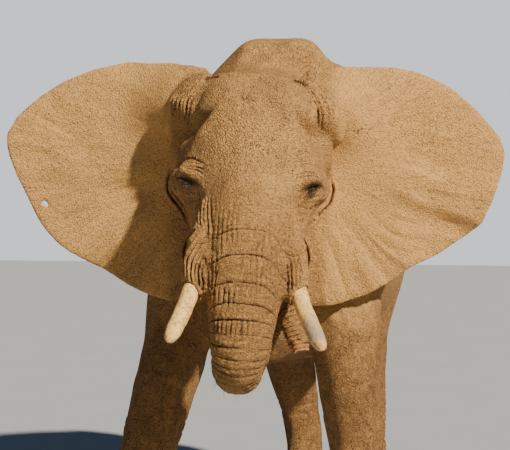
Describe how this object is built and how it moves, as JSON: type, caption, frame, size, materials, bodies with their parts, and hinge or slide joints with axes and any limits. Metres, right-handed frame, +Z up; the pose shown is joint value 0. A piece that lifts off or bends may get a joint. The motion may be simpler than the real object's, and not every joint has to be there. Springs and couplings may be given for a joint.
{
  "type": "african elephant",
  "caption": "African savanna elephant standing with ears fanned wide, short tusks, trunk curled back under its chin and a foreleg splayed out",
  "frame": {"origin": "on the floor, under the centre of the elephant's bounding box", "axes": "-Y is the way the body faces, +X is the elephant's left, +Z is up"},
  "size_m": [2.6742, 4.221, 2.9589],
  "materials": {
    "skin": "dry, dusty tan-brown skin with deep folds and a pebbled grain",
    "ivory": "satin ivory with fine brown cracks and stained, blunt tips",
    "eye": "wet, dark amber-brown",
    "nail": "worn, dusty horn",
    "hair": "coarse black wiry hair"
  },
  "bodies": {
    "root": {"body": "skin", "neck": "skin", "head": "skin", "lower_jaw": "skin", "trunk_upper": "skin", "trunk_bend": "skin", "trunk_rise": "skin", "trunk_hook": "skin", "trunk_tip": "skin", "ear_left": "skin", "ear_right": "skin", "foreleg_left": "skin", "foreleg_right": "skin", "hindleg_left": "skin", "hindleg_right": "skin", "tail": "skin", "tusk_left": "ivory", "tusk_right": "ivory", "eye_left": "eye", "eye_right": "eye", "nail_fore_left_1": "nail", "nail_fore_left_2": "nail", "nail_fore_left_3": "nail", "nail_fore_left_4": "nail", "nail_fore_right_1": "nail", "nail_fore_right_2": "nail", "nail_fore_right_3": "nail", "nail_fore_right_4": "nail", "nail_hind_left_1": "nail", "nail_hind_left_2": "nail", "nail_hind_left_3": "nail", "nail_hind_right_1": "nail", "nail_hind_right_2": "nail", "nail_hind_right_3": "nail", "tail_tuft": "hair"}
  },
  "joints": []
}
